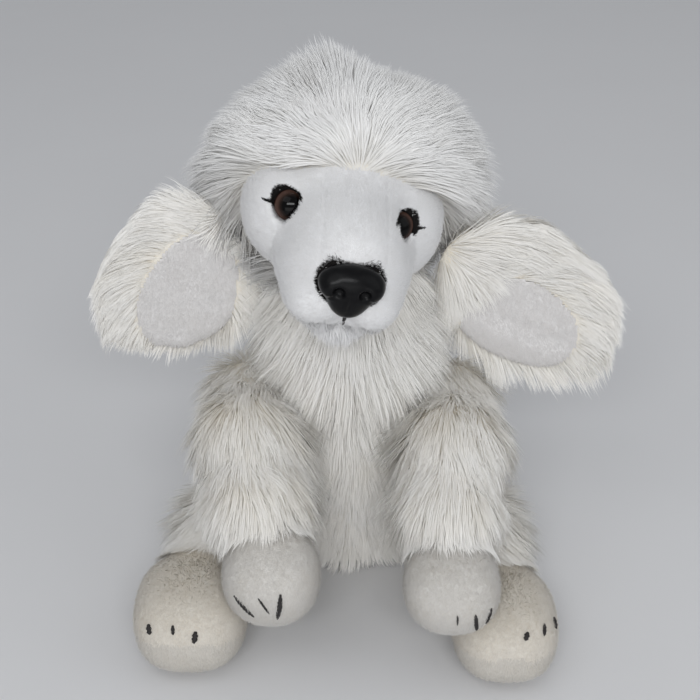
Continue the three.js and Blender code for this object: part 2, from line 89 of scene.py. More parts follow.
EARS = {
    "right": dict(
        side=-1, centre=(-92, -3, 176), length=46, width=37, slope=54, hinge=(-63.7, -1.2, 214.0),
        lining=(-87.5, 166), lining_radii=(37.5, 24.0), lining_slope=65, reach=134,
        top_line=((-84, 237), (-0.839, 0.544), 10.0)),
    "left": dict(
        side=1, centre=(93, -3, 164), length=52, width=37, slope=38, hinge=(43.8, 8.3, 193.0),
        lining=(92, 146), lining_radii=(32.5, 28.0), lining_slope=30, reach=142,
        top_line=((76, 225), (0.679, 0.734), 4.0)),
}
EAR_THICKNESS = 7.0
TAIL_ROOT = (0, 47, 36)
TAIL_ROUTE = [(0, 0, 0), (0, 12, 6), (0, 21, 20), (0, 24, 36)]
TAIL_RADII = [8, 9, 13, 14]


# ---- distance fields ----

def bell(t):
    """1 where t is 0, falling to nearly 0 where it is 2 or -2."""
    return np.exp(-(t ** 2))


def clamp(t):
    return np.clip(t, 0, 1)


def unit(v):
    return v / np.maximum(np.linalg.norm(v, axis=-1, keepdims=True), 1e-9)


def ellipsoid(p, centre, radii):
    q = (p - np.array(centre, float)) / np.array(radii, float)
    near = np.linalg.norm(q, axis=1)
    steep = np.linalg.norm(q / np.array(radii, float), axis=1)
    return near * (near - 1.0) / np.maximum(steep, 1e-9)


def block(p, radii, power):
    """A rounded block about the origin: the higher the power, the squarer."""
    near = ((np.abs(p) / radii) ** power).sum(1) ** (1 / power)
    return np.linalg.norm(p, axis=1) * (1 - 1 / np.maximum(near, 1e-6))


def capsule(p, a, b, ra, rb):
    a, b = np.array(a, float), np.array(b, float)
    along = b - a
    t = clamp((p - a) @ along / (along @ along))
    return np.linalg.norm(p - a - t[:, None] * along, axis=1) - (ra + (rb - ra) * t)


def smooth_min(a, b, k):
    h = np.maximum(k - np.abs(a - b), 0) / k
    return np.minimum(a, b) - h * h * k / 4


def smooth_max(a, b, k):
    return -smooth_min(-a, -b, k)


def limb(p, route, radii, k=14.0):
    whole = None
    for (a, b), (ra, rb) in zip(zip(route[:-1], route[1:]), zip(radii[:-1], radii[1:])):
        part = capsule(p, a, b, ra, rb)
        whole = part if whole is None else smooth_min(whole, part, k)
    return whole


def slope(field, p, step=0.35):
    corners = np.array([[1, -1, -1], [-1, -1, 1], [-1, 1, -1], [1, 1, 1]], float)
    return sum(c * field(p + step * c)[:, None] for c in corners) / (4 * step)


def to_head(p):
    return (p - HEAD_CENTRE) @ HEAD_TURN


def from_head(q):
    return q @ HEAD_TURN.T + HEAD_CENTRE


def torso_field(p):
    z = np.clip(p[:, 2], 0, TORSO_HEIGHT)
    width = np.interp(z, TORSO_Z, TORSO_HALF_WIDTH) - SKIN_DEPTH
    front = np.interp(z, TORSO_Z, TORSO_FRONT) + SKIN_DEPTH
    back = np.interp(z, TORSO_Z, TORSO_BACK) - SKIN_DEPTH
    depth = (back - front) / 2
    ring = np.hypot(p[:, 0] / width, (p[:, 1] - (front + back) / 2) / depth)
    side = (ring - 1) * np.sqrt(width * depth)
    ends = np.maximum(p[:, 2] - TORSO_HEIGHT, 1.0 - p[:, 2])
    return smooth_max(side, ends, 14.0)


def neck_field(p):
    return capsule(p, (0, 2, 140), (-2, 0, 196), 29, 21)


def turn(a, b, degrees):
    """The pair (a, b) turned in its plane."""
    c, s = math.cos(math.radians(degrees)), math.sin(math.radians(degrees))
    return c * a - s * b, s * a + c * b


def paw_parts(p, limb_spec):
    """The sleeve's and the paw's own fields, in the limb's own frame."""
    q = p - np.array(limb_spec["joint"], float)
    sleeve = limb(q, limb_spec["route"], [r - SKIN_DEPTH for r in limb_spec["radii"]])
    local = q - np.array(limb_spec["paw"], float)
    y, z = turn(local[:, 1], local[:, 2], -limb_spec["pitch"])
    local = np.stack([local[:, 0], y, z], 1)
    radii = np.array(limb_spec["paw_radii"], float) - SHORT_DEPTH
    paw = block(local, radii, limb_spec["power"])
    return sleeve, paw, local / radii


def limb_field(limb_spec):
    def field(p):
        sleeve, paw, local = paw_parts(p, limb_spec)
        whole = smooth_min(sleeve, paw, 9.0)
        return smooth_max(whole, 0.6 - p[:, 2], 5.0)
    return field


def ear_frame(p, ear):
    """Along the ear, through it (front is negative) and across it, in millimetres from its centre."""
    q = p - np.array(ear["centre"], float)
    along, across = turn(q[:, 0], q[:, 2], ear["side"] * ear["slope"])
    return np.stack([along, q[:, 1], across], 1)


def ear_field(ear):
    def field(p):
        q = ear_frame(p, ear)
        cup = 2.2 * ((q[:, 0] / ear["length"]) ** 2 + (q[:, 2] / ear["width"]) ** 2)
        q = np.stack([q[:, 0], q[:, 1] + cup - 1.0, q[:, 2]], 1)
        return ellipsoid(q, (0, 0, 0), (ear["length"] - 1, EAR_THICKNESS - 1.5, ear["width"] - 1))
    return field


def tail_field(p):
    return limb(p - np.array(TAIL_ROOT, float), TAIL_ROUTE, [r - 4.5 for r in TAIL_RADII])


def mask_depth(q):
    """How far in front of the fur's edge a point of the head is: positive on the short-pile face."""
    depth = np.hypot(q[:, 0], q[:, 1] - MASK_EDGE_CENTRE_Y) - MASK_EDGE_RADIUS
    return np.where(q[:, 1] < 12, depth, -20.0)


def line_distance(q, a, b):
    return capsule(q, a, b, 0, 0)


def face_field(q):
    """The short-pile face and the skull under it, in the head's own frame."""
    x = np.abs(q[:, 0])
    m = np.stack([x, q[:, 1], q[:, 2]], 1)
    head = ellipsoid(q, (0, 0, 0), (54.6, 47.6, 45.6))
    muzzle = ellipsoid(q, (0, -52, -20), (34, 38.5, 25.5))
    bridge = ellipsoid(q, (0, -44, -2), (25, 38, 20))
    cheek = ellipsoid(m, (33, -28, -9), (16, 17, 19))
    jowl = ellipsoid(m, (13.5, -70, -30), (15, 18, 13))
    chin = ellipsoid(q, (0, -60, -43), (17, 19, 9))
    whole = smooth_min(head, muzzle, 20)
    whole = smooth_min(whole, bridge, 16)
    whole = smooth_min(whole, cheek, 14)
    whole = smooth_min(whole, jowl, 6)
    whole = smooth_min(whole, chin, 2.2)
    # the seams and darts that pull the cloth in
    gusset = np.abs(x - FACE_GUSSET_HALF_WIDTH)
    front = clamp((-q[:, 1] - 38) / 10)
    whole = whole + 0.26 * bell(gusset / 1.1) * front * (q[:, 2] > -12)
    dart = np.minimum(
        line_distance(m, (30.5, -48, -4), (33.5, -48, -16)),
        line_distance(m, (33.5, -48, -16), (33, -44, -32)))
    whole = whole + 1.5 * bell(dart / 3.4)
    lips = np.minimum(
        line_distance(m, (0, -88, -32), (9, -84, -39)),
        line_distance(m, (9, -84, -39), (20, -72, -41)))
    whole = whole + 1.8 * bell(lips / 2.2)
    philtrum = line_distance(m, (0, -92, -24), (0, -88, -35))
    whole = whole + 1.6 * bell(philtrum / 2.0)
    # the cloth dips round each eye and its inner edge covers part of it
    for side, eye in EYES.items():
        out = math.copysign(1.0, eye[0])
        socket = ellipsoid(q, eye + (SOCKET_SHIFT[side] * out, -2.0, 0.2), (7.9, SOCKET_DEPTH[side], 8.1))
        tip = capsule(q, eye + (0, -2.5, -7.0), eye + (0, -2.5, -9.6), 1.5, 0.4)
        whole = smooth_max(smooth_max(whole, -socket, 2.6), -tip, 1.6)
    return whole


def crown_field(q):
    """The cap of backing cloth under the head's long fur."""
    cap = ellipsoid(q, (3, 8, 4), (57.5, 49, 42))
    knot = ellipsoid(q, (-4, 2, 28), (30, 28, 17))
    return smooth_min(cap, knot, 14)


def head_field(p):
    q = to_head(p)
    depth = mask_depth(q)
    back = clamp(depth / 6.0 + 1.0)
    crown = crown_field(q) + 26 * back
    whole = smooth_min(face_field(q), crown, 5.0)
    return smooth_max(whole, -46.0 - q[:, 2] - 12 * clamp(depth / 12), 8.0)


def nose_field(p):
    q = to_head(p) - NOSE_CENTRE
    m = np.stack([np.abs(q[:, 0]), q[:, 1], q[:, 2]], 1)
    upper = ellipsoid(q, (0, 0, 2.6), (16.4, 8.8, 9.8))
    lower = ellipsoid(q, (0, 0.4, -6.4), (9.4, 7.8, 9.0))
    whole = smooth_min(upper, lower, 7)
    wing = ellipsoid(m, (9.8, -3.8, 1.4), (5.0, 4.2, 4.8))
    whole = smooth_min(whole, wing, 3.0)
    nostril = ellipsoid(m, (6.4, -8.8, 0.4), (3.1, 3.2, 2.7))
    slit = capsule(m, (7.4, -8.4, -1.8), (12.8, -5.0, -5.6), 0.9, 0.5)
    groove = capsule(m, (0, -9.6, 0.5), (0, -7.0, -13.0), 0.5, 0.9)
    for cut, k in ((nostril, 1.6), (slit, 1.2), (groove, 1.6)):
        whole = smooth_max(whole, -cut, k)
    return whole


FIELDS = [torso_field, neck_field, head_field, tail_field]
EAR_FIELDS = [ear_field(ear) for ear in EARS.values()]
FIELDS += [limb_field(spec) for spec in (*ARMS.values(), *LEGS.values())]


# ---- meshes ----

def surface(field, low, high, pitch):
    """The closed skin of a distance field as quads: surface nets, then Newton steps onto the field."""
    lines = [np.arange(a, b + pitch, pitch) for a, b in zip(low, high)]
    grid = np.stack(np.meshgrid(*lines, indexing="ij"), -1)
    values = field(grid.reshape(-1, 3)).reshape(grid.shape[:3])
    inside = values < 0
    cells = tuple(n - 1 for n in values.shape)
    total, count = np.zeros(cells + (3,)), np.zeros(cells)
    crossings = []
    for axis in range(3):
        lower = [slice(None)] * 3
        upper = [slice(None)] * 3
        lower[axis], upper[axis] = slice(None, -1), slice(1, None)
        a, b = values[tuple(lower)], values[tuple(upper)]
        cross = inside[tuple(lower)] != inside[tuple(upper)]
        share = np.where(cross, a / np.where(cross, a - b, 1), 0)
        spot = grid[tuple(lower)].copy()
        spot[..., axis] += share * pitch
        others = [(axis + 1) % 3, (axis + 2) % 3]
        for du in (0, 1):
            for dv in (0, 1):
                part = [slice(None)] * 3
                part[others[0]] = slice(du, du + cells[others[0]])
                part[others[1]] = slice(dv, dv + cells[others[1]])
                hit = cross[tuple(part)]
                total += spot[tuple(part)] * hit[..., None]
                count += hit
        crossings.append((axis, others, cross, inside[tuple(lower)]))
    used = count > 0
    number = np.full(cells, -1)
    number[used] = np.arange(used.sum())
    points = total[used] / count[used][:, None]
    quads = []
    for axis, others, cross, first in crossings:
        where = np.argwhere(cross)
        u, v = others
        fits = (where[:, u] > 0) & (where[:, v] > 0) & (where[:, u] < cells[u]) & (where[:, v] < cells[v])
        where = where[fits]
        if not len(where):
            continue
        outward = first[tuple(where.T)]
        ring = []
        for du, dv in ((1, 1), (0, 1), (0, 0), (1, 0)):
            cell = where.copy()
            cell[:, u] -= du
            cell[:, v] -= dv
            ring.append(number[tuple(cell.T)])
        quad = np.stack(ring, 1)
        quad[~outward] = quad[~outward][:, ::-1]
        quads.append(quad)
    quads = np.concatenate(quads)
    for _ in range(4):
        g = slope(field, points)
        step = g * (field(points) / np.maximum((g * g).sum(1), 0.05))[:, None]
        points = points - np.clip(step, -pitch * 0.5, pitch * 0.5)
    return points, quads


def mesh_object(name, points, faces, material, smooth=True, uv=None, normals=None):
    """A mesh of quads or triangles, with one (u, v) and one normal for each point where they are given."""
    sides = faces.shape[1]
    mesh = bpy.data.meshes.new(name)
    mesh.vertices.add(len(points))
    mesh.vertices.foreach_set("co", (points * MM).astype(np.float32).ravel())
    mesh.loops.add(faces.size)
    mesh.loops.foreach_set("vertex_index", faces.astype(np.int32).ravel())
    mesh.polygons.add(len(faces))
    mesh.polygons.foreach_set("loop_start", np.arange(0, faces.size, sides, dtype=np.int32))
    mesh.polygons.foreach_set("use_smooth", np.full(len(faces), smooth))
    mesh.update(calc_edges=True)
    if uv is not None:
        layer = mesh.uv_layers.new(name="OFBake")
        layer.data.foreach_set("uv", uv[faces.ravel()].astype(np.float32).ravel())
    mesh.validate()
    if normals is not None:
        free = mesh.attributes.new("custom_normal", "FLOAT_VECTOR", "POINT")
        free.data.foreach_set("vector", normals.astype(np.float32).ravel())
    thing = bpy.data.objects.new(name, mesh)
    bpy.context.scene.collection.objects.link(thing)
    mesh.materials.append(material)
    return thing


def ring_faces(rings, spokes):
    """Quads between rings of points round an axis."""
    ring, spoke = np.meshgrid(np.arange(rings - 1), np.arange(spokes), indexing="ij")
    a = (ring * spokes + spoke).ravel()
    b = (ring * spokes + (spoke + 1) % spokes).ravel()
    return np.stack([a, b, b + spokes, a + spokes], 1)


def part_of(points, faces, keep):
    """The faces that keep, with only the points they use."""
    faces = faces[keep]
    used, inverse = np.unique(faces, return_inverse=True)
    return points[used], inverse.reshape(faces.shape)


def scatter(points, faces, density, keep=None):
    """Random points on quads or triangles, even by area, thinned by keep(points), a share from 0 to 1."""
    if faces.shape[1] == 4:
        faces = np.concatenate([faces[:, [0, 1, 2]], faces[:, [0, 2, 3]]])
    a, b, c = points[faces[:, 0]], points[faces[:, 1]], points[faces[:, 2]]
    areas = np.linalg.norm(np.cross(b - a, c - a), axis=1) / 2
    total = int(areas.sum() * density)
    pick = np.searchsorted(np.cumsum(areas), rng.random(total) * areas.sum())
    pick = np.minimum(pick, len(faces) - 1)
    u, v = rng.random(total), rng.random(total)
    flip = u + v > 1
    u, v = np.where(flip, 1 - u, u), np.where(flip, 1 - v, v)
    spots = a[pick] + (b - a)[pick] * u[:, None] + (c - a)[pick] * v[:, None]
    if keep is not None:
        spots = spots[rng.random(len(spots)) < keep(spots)]
    return spots


def waves(p, scale, seed):
    """Smooth noise from -1 to 1 in three channels, the same for each run."""
    made = np.random.default_rng(seed)
    out = np.zeros_like(p)
    for octave, weight in ((1.0, 0.6), (2.1, 0.4)):
        for _ in range(3):
            way = unit(made.normal(size=(3, 3)))
            shift = made.random(3) * 6.28
            out += weight / 3 * np.sin(p @ way.T * (6.28 * octave / scale) + shift) * 1.8
    return out


def nearest(points, guides):
    tree = KDTree(len(guides))
    for index, guide in enumerate(guides):
        tree.insert(guide, index)
    tree.balance()
    return np.array([tree.find(p)[1] for p in points])


def clump(strands, t, share, pull, spread):
    """Draws strands together towards their tips, round the share of them that lead."""
    total = len(strands)
    lead = rng.choice(total, max(2, int(total * share)), replace=False)
    owner = lead[nearest(strands[:, 0], strands[lead, 0])]
    strength = pull * (1 + spread * rng.normal(size=total))[owner]
    strength = np.clip(strength, 0, 0.95)[:, None, None]
    ease = (t ** 1.2)[None, :, None]
    guide = strands[owner]
    return guide + (strands - guide) * (1 - strength * ease), owner


def grow(roots, field, comb, length, lift, droop, bend=0.17, points=5, locks=0.013, pull=0.24, push=None,
         trim=None):
    """Strands of long fur, the cloth's normals at their roots and the lock that each belongs to.

    comb gives the way the fur lies, lift its angle off the cloth in degrees and droop how much it
    hangs. push is the field that the strands stay outside of, and trim(points) clips their outline.
    """
    normals = unit(slope(field, roots))
    lay = comb(roots, normals)
    lay = lay - normals * (lay * normals).sum(1)[:, None]
    lay = unit(lay + 0.0001)
    swirl = waves(roots, 34.0, 5) * bend + waves(roots, 13.0, 6) * bend * 0.8
    loose = rng.normal(size=roots.shape) * 0.08
    angle = np.radians(lift)[:, None] if isinstance(lift, np.ndarray) else math.radians(lift)
    way = unit(lay * np.cos(angle) + normals * np.sin(angle) + swirl + loose)
    t = np.linspace(0, 1, points)
    step = length / (points - 1)
    strands = [roots - normals * 0.8]
    here = roots
    for index in range(points - 1):
        curl = waves(here, 20.0, 40 + index) * 0.10
        way = unit(way + np.array([0, 0, -1.0]) * (droop * (index + 1) / points) + curl)
        here = here + way * step[:, None]
        for _ in range(2):
            solid = push or field
            near = solid(here)
            need = np.maximum(0.9 * (index + 1) - near, 0)
            here = here + unit(slope(solid, here)) * need[:, None]
        strands.append(here)
    strands = np.stack(strands, 1)
    strands, owner = clump(strands, t, locks, pull, 0.25)
    strands, _ = clump(strands, t, 0.11, 0.12, 0.3)
    if trim is not None:
        strands = trim(strands.reshape(-1, 3)).reshape(strands.shape)
    strands[..., 2] = np.maximum(strands[..., 2], FLOOR_GAP + rng.random(len(strands))[:, None] * 1.5)
    return strands, normals, owner


def ribbons(name, strands, normals, width, material, tint, roll=0.26):
    """Strands as flat tapering ribbons whose broad side faces out of the fur."""
    total, knots, _ = strands.shape
    along = unit(np.diff(strands, axis=1))
    along = np.concatenate([along, along[:, -1:]], 1)
    out = unit(normals + rng.normal(size=normals.shape) * roll)[:, None, :]
    side = unit(np.cross(along, np.broadcast_to(out, along.shape)))
    outward = (np.cross(side, along) * normals[:, None, :]).sum((1, 2))
    side = side * np.where(outward < 0, -1.0, 1.0)[:, None, None]
    t = np.linspace(0, 1, knots)
    profile = (0.75 + 0.35 * np.sin(np.pi * t ** 0.8)) * (1 - 0.55 * t)
    half = (width * profile[None, :] / 2)[..., None] * side * STRAND_WIDTH
    left, right = strands[:, :-1] - half[:, :-1], strands[:, :-1] + half[:, :-1]
    body = np.stack([left, right], 2).reshape(total, -1, 3)
    points = np.concatenate([body, strands[:, -1:]], 1)
    facing = unit(normals[:, None, :] + 0.16 * np.cross(side, along))
    facing = np.concatenate([np.repeat(facing[:, :-1], 2, axis=1), facing[:, -1:]], 1)
    per = points.shape[1]
    cells = []
    for index in range(knots - 2):
        a = 2 * index
        cells += [(a, a + 1, a + 3), (a, a + 3, a + 2)]
    cells.append((per - 3, per - 2, per - 1))
    faces = (np.arange(total)[:, None, None] * per + np.array(cells)[None]).reshape(-1, 3)
    u = np.concatenate([np.repeat(t[:-1], 2), [1.0]])
    uv = np.stack([
        np.broadcast_to(0.02 + 0.96 * u[None, :], (total, per)),
        np.broadcast_to(np.clip(tint, 0.02, 0.98)[:, None], (total, per))], -1)
    return mesh_object(
        name, points.reshape(-1, 3), faces, material, True, uv.reshape(-1, 2), facing.reshape(-1, 3))


# ---- materials ----

def new_material(name, roughness, sheen=0.0, specular=0.5):
    material = bpy.data.materials.new(name)
    material.use_nodes = True
    shader = material.node_tree.nodes["Principled BSDF"]
    shader.inputs["Roughness"].default_value = roughness
    shader.inputs["Sheen Weight"].default_value = sheen
    shader.inputs["Sheen Roughness"].default_value = 0.5
    shader.inputs["Specular IOR Level"].default_value = specular
    return material, material.node_tree.nodes, material.node_tree.links, shader


def ramp_from(nodes, links, factor, stops):
    """The colour output of a ramp that factor drives."""
    ramp = nodes.new("ShaderNodeValToRGB")
    elements = ramp.color_ramp.elements
    while len(elements) < len(stops):
        elements.new(0.5)
    for element, (place, color) in zip(elements, stops):
        element.position = place
        element.color = (*color, 1)
    links.new(factor, ramp.inputs["Fac"])
    return ramp.outputs["Color"]


def uv_axes(nodes, links):
    place = nodes.new("ShaderNodeUVMap")
    place.uv_map = "OFBake"
    split = nodes.new("ShaderNodeSeparateXYZ")
    links.new(place.outputs["UV"], split.inputs["Vector"])
    return split.outputs["X"], split.outputs["Y"]


# each fur's colour at its root, middle and tip, and the tint of its warmest locks; the darker, warmer
# roots are painted shade deep in the pile
STRAND_COLOURS = {
    "fur_ivory": ((0.89, 0.865, 0.81), (0.93, 0.915, 0.885), (0.94, 0.932, 0.912), (0.975, 0.958, 0.92)),
    "fur_white": ((0.87, 0.855, 0.82), (0.90, 0.895, 0.885), (0.91, 0.91, 0.91), (0.975, 0.962, 0.935)),
    "fuzz_white": ((0.80, 0.80, 0.805), (0.84, 0.84, 0.845), (0.87, 0.87, 0.88), (0.97, 0.965, 0.96)),
    "fuzz_warm": ((0.64, 0.62, 0.59), (0.68, 0.66, 0.63), (0.72, 0.70, 0.67), (0.96, 0.94, 0.90)),
    "fuzz_cream": ((0.71, 0.665, 0.595), (0.75, 0.71, 0.645), (0.79, 0.755, 0.70), (0.96, 0.93, 0.88)),
    "fuzz_sole": ((0.61, 0.58, 0.53), (0.67, 0.64, 0.59), (0.73, 0.70, 0.65), (0.94, 0.93, 0.90)),
    "fuzz_lining": ((0.72, 0.70, 0.695), (0.76, 0.745, 0.74), (0.79, 0.78, 0.775), (0.97, 0.955, 0.945)),
    "fuzz_black": ((0.005, 0.0045, 0.0045), (0.007, 0.006, 0.006), (0.018, 0.016, 0.015), (0.8, 0.8, 0.8)),
}


def strand_material(name, roughness=0.6, sheen=0.2):
    """Long fur and short fuzz: u runs from root to tip, v is the lock's own tint."""
    root, middle, tip, warm = STRAND_COLOURS[name]
    material, nodes, links, shader = new_material(name, roughness, sheen, 0.25)
    u, v = uv_axes(nodes, links)
    # the colour darkens and warms towards the root: painted shade deep in the pile
    length = ramp_from(nodes, links, u, [(0.0, root), (0.45, middle), (1.0, tip)])
    tint = ramp_from(nodes, links, v, [(0.0, warm), (0.5, (0.97, 0.965, 0.955)), (1.0, (1, 1, 1))])
    mix = nodes.new("ShaderNodeMix")
    mix.data_type = "RGBA"
    mix.blend_type = "MULTIPLY"
    mix.inputs["Factor"].default_value = 1.0
    links.new(length, mix.inputs[6])
    links.new(tint, mix.inputs[7])
    links.new(mix.outputs[2], shader.inputs["Base Color"])
    return material


def noise_material(name, low, high, scale, roughness, bump, bump_scale, sheen=0.0, specular=0.5):
    """A surface mottled from low to high with fine relief, for cloth and moulded plastic."""
    material, nodes, links, shader = new_material(name, roughness, sheen, specular)
    place = nodes.new("ShaderNodeTexCoord")
    mottle = nodes.new("ShaderNodeTexNoise")
    mottle.inputs["Scale"].default_value = scale
    mottle.inputs["Detail"].default_value = 5.0
    grain = nodes.new("ShaderNodeTexNoise")
    grain.inputs["Scale"].default_value = bump_scale
    grain.inputs["Detail"].default_value = 3.0
    relief = nodes.new("ShaderNodeBump")
    relief.inputs["Strength"].default_value = bump
    relief.inputs["Distance"].default_value = 0.0004
    links.new(place.outputs["Object"], mottle.inputs["Vector"])
    links.new(place.outputs["Object"], grain.inputs["Vector"])
    color = ramp_from(nodes, links, mottle.outputs["Fac"], [(0.3, low), (0.7, high)])
    links.new(color, shader.inputs["Base Color"])
    links.new(grain.outputs["Fac"], relief.inputs["Height"])
    links.new(relief.outputs["Normal"], shader.inputs["Normal"])
    return material


fur_ivory = strand_material("fur_ivory")
fur_white = strand_material("fur_white")
fuzz_white = strand_material("fuzz_white")
fuzz_warm = strand_material("fuzz_warm")
fuzz_cream = strand_material("fuzz_cream")
fuzz_sole = strand_material("fuzz_sole")
fuzz_lining = strand_material("fuzz_lining")
fuzz_black = strand_material("fuzz_black", 0.9, 0.0)


def backing(name, low, high):
    """The woven cloth under long fur."""
    return noise_material(name, low, high, 60, 0.9, 0.5, 900, 0.2)


def pile(name, low, high, scale=80):
    """The cloth under short pile."""
    return noise_material(name, low, high, scale, 0.85, 0.5, 1400, 0.3)


cloth_ivory = backing("cloth_ivory", (0.84, 0.78, 0.67), (0.90, 0.86, 0.78))
cloth_white = backing("cloth_white", (0.80, 0.76, 0.68), (0.87, 0.84, 0.78))
pile_white = pile("pile_white", (0.81, 0.81, 0.815), (0.85, 0.85, 0.855), 90)
pile_warm = pile("pile_warm", (0.62, 0.60, 0.565), (0.67, 0.65, 0.62))
pile_cream = pile("pile_cream", (0.66, 0.62, 0.55), (0.72, 0.685, 0.62))
pile_sole = pile("pile_sole", (0.55, 0.52, 0.47), (0.64, 0.61, 0.56))
pile_lining = pile("pile_lining", (0.72, 0.705, 0.695), (0.77, 0.755, 0.75))
nose_plastic = noise_material(
    "nose_plastic", (0.003, 0.003, 0.0035), (0.006, 0.006, 0.0065), 300, 0.28, 0.10, 1300, specular=0.13)
pile_black = noise_material(
    "pile_black", (0.005, 0.0045, 0.0045), (0.011, 0.010, 0.0095), 300, 0.95, 0.6, 1800, specular=0.08)
thread_black = noise_material(
    "thread_black", (0.014, 0.012, 0.012), (0.03, 0.027, 0.026), 900, 0.8, 0.6, 2400)
fibre_white = noise_material(
    "fibre_white", (0.88, 0.88, 0.88), (0.94, 0.94, 0.94), 70, 0.95, 0.6, 500, 0.3)
bag_cloth = noise_material("bag_cloth", (0.60, 0.56, 0.48), (0.72, 0.68, 0.60), 400, 0.9, 0.6, 1600)
washer_grey = noise_material("washer_grey", (0.66, 0.67, 0.68), (0.74, 0.75, 0.76), 200, 0.5, 0.1, 900)


def eye_material():
    """u runs from the middle of the eye to its edge: a black pupil in a dark brown ring."""
    material, nodes, links, shader = new_material("eye_plastic", 0.055, 0.0, 0.16)
    black = (0.0012, 0.001, 0.001)
    dark = (0.014, 0.008, 0.006)
    brown = (0.070, 0.038, 0.029)
    rim = (0.03, 0.017, 0.013)
    stops = [(0.0, black), (0.50, black), (0.64, dark), (0.84, brown), (0.93, brown), (0.98, rim)]
    u, _ = uv_axes(nodes, links)
    links.new(ramp_from(nodes, links, u, stops), shader.inputs["Base Color"])
    return material


eye_plastic = eye_material()


# ---- the pieces ----

def attach(thing, body, nodes=()):
    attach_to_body(thing, body)
    if nodes:
        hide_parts(*nodes)
    return thing


def the_rest(centres):
    """The rule of a last panel, which takes what the rules before it left."""
    return np.ones(len(centres), bool)


def skin_pieces(points, quads, rules, body):
    """Splits one skin into its panels. rules: (node, keep(centres), material, slot, fill); slot and fill
    are not used.
    """
    centres = points[quads].mean(1)
    left = np.ones(len(quads), bool)
    made = {}
    for name, keep, material, slot_name, fill in rules:
        mine = left & keep(centres)
        left &= ~mine
        if not mine.any():
            continue
        p, f = part_of(points, quads, mine)
        attach(mesh_object(name + "_cloth", p, f, material), body, [name])
        made[name] = (p, f)
    return made


def long_fur(name, body, slot_name, material, skin, field, comb, length, lift, droop, density=1.0,
             keep=None, width=0.38, tint=0.0, **extra):
    """Long fur on a skin. length, lift and keep may be functions of the roots; extra goes to grow()."""
    roots = scatter(*skin, density * LONG_DENSITY * DENSITY, keep)
    size = length(roots) * np.clip(1 + 0.16 * rng.normal(size=len(roots)), 0.55, 1.4)
    angle = lift(roots) if callable(lift) else lift
    strands, normals, owner = grow(roots, field, comb, size, angle, droop, **extra)
    shade = 0.55 + tint + 0.07 * rng.normal(size=len(roots))[owner] + 0.04 * rng.normal(size=len(roots))
    shade = shade + 0.20 * waves(roots, 46.0, 9)[:, 0]
    half = width * (0.75 + 0.5 * rng.random(len(roots)))[:, None]
    return attach(ribbons(name, strands, normals, half, material, shade), body)


def fuzz(name, body, material, skin, field, comb, length=1.9, density=3.0, keep=None,
         width=0.30, lift=38.0, spread=0.22):
    """Short pile on a skin, as single bent strands."""
    roots = scatter(*skin, density * DENSITY, keep)
    if not len(roots):
        return None
    normals = unit(slope(field, roots))
    lay = comb(roots, normals)
    lay = unit(lay - normals * (lay * normals).sum(1)[:, None] + 1e-4)
    angle = math.radians(lift)
    way = unit(lay * math.cos(angle) + normals * math.sin(angle) + rng.normal(size=roots.shape) * spread)
    size = length(roots) if callable(length) else np.full(len(roots), length)
    size = size * (0.6 + 0.7 * rng.random(len(roots)))
    middle = roots + way * size[:, None] * 0.5
    tip = middle + unit(way + lay * 0.5) * size[:, None] * 0.5
    tip[:, 2] = np.maximum(tip[:, 2], 0.25)
    strands = np.stack([roots - normals * 0.3, middle, tip], 1)
    shade = 0.55 + 0.2 * rng.normal(size=len(roots)) + 0.2 * waves(roots, 20.0, 3)[:, 0]
    half = width * (0.8 + 0.4 * rng.random(len(roots)))[:, None]
    return attach(ribbons(name, strands, normals, half, material, shade, 0.15), body)


def everything(p):
    return np.min([f(p) for f in FIELDS], axis=0)


# torso
torso = surface(torso_field, (-50, -45, -4), (50, 50, 156), 3.0)
torso_parts = skin_pieces(*torso, [
    ("seat_panel", lambda c: c[:, 2] < 2.6, cloth_ivory, "long_fur_ivory", None),
    ("torso_belly_panel", lambda c: c[:, 1] < SIDE_SEAM_Y, cloth_ivory, "long_fur_ivory", 0.7),
    ("torso_back_panel", the_rest, cloth_ivory, "long_fur_ivory", 0.7),
], "torso")


def to_side(p, reach):
    return np.clip(p[:, 0] / reach, -1, 1)


def torso_comb(p, n):
    """Down the belly and back, and outwards over the shoulders."""
    high = clamp((p[:, 2] - 98) / 30)
    out = to_side(p, 24)
    return np.stack([out * (0.25 + 1.3 * high), 0 * out, -1 + 0.3 * high], 1)


def torso_length(p):
    chest = clamp((p[:, 2] - 60) / 50)
    return 19 + 13 * chest + 16 * chest * np.abs(to_side(p, 24)) ** 2


def torso_lift(p):
    return 30 + 18 * clamp((p[:, 2] - 90) / 40) * (1 - 0.5 * np.abs(to_side(p, 24)))


for part, name in (("torso_belly_panel", "belly_fur"), ("torso_back_panel", "back_fur")):
    long_fur(name, "torso", "long_fur_ivory", fur_ivory, torso_parts[part], torso_field, torso_comb,
             torso_length, torso_lift, 0.16, 0.95, push=everything)

# neck
neck = surface(neck_field, (-30, -28, 112), (30, 32, 222), 3.0)
neck_parts = skin_pieces(*neck, [
    ("neck_sleeve", the_rest, cloth_ivory, "long_fur_ivory", 0.6),
], "neck")


def neck_comb(p, n):
    out = to_side(p, 20)
    return np.stack([out, 0 * out, -1 + 0 * out], 1)


def neck_length(p):
    return 37 + 7 * np.abs(to_side(p, 20))


def neck_lift(p):
    return 54 - 12 * np.abs(to_side(p, 20))


long_fur("neck_fur", "neck", "long_fur_ivory", fur_ivory, neck_parts["neck_sleeve"], neck_field, neck_comb,
         neck_length, neck_lift, 0.26, 1.05, lambda p: (p[:, 2] < 200) * 1.0)

# head: one skin, split at its seams into panels
head_points, head_quads = surface(head_field, (-76, -104, 166), (76, 64, 300), 2.2)


def on_mask(c):
    return mask_depth(to_head(c)) > 0


def on_face(test):
    """A rule for the short-pile face, test being a rule in the head's own frame."""
    return lambda c: on_mask(c) & test(to_head(c))


def on_crown(test):
    return lambda c: test(to_head(c))


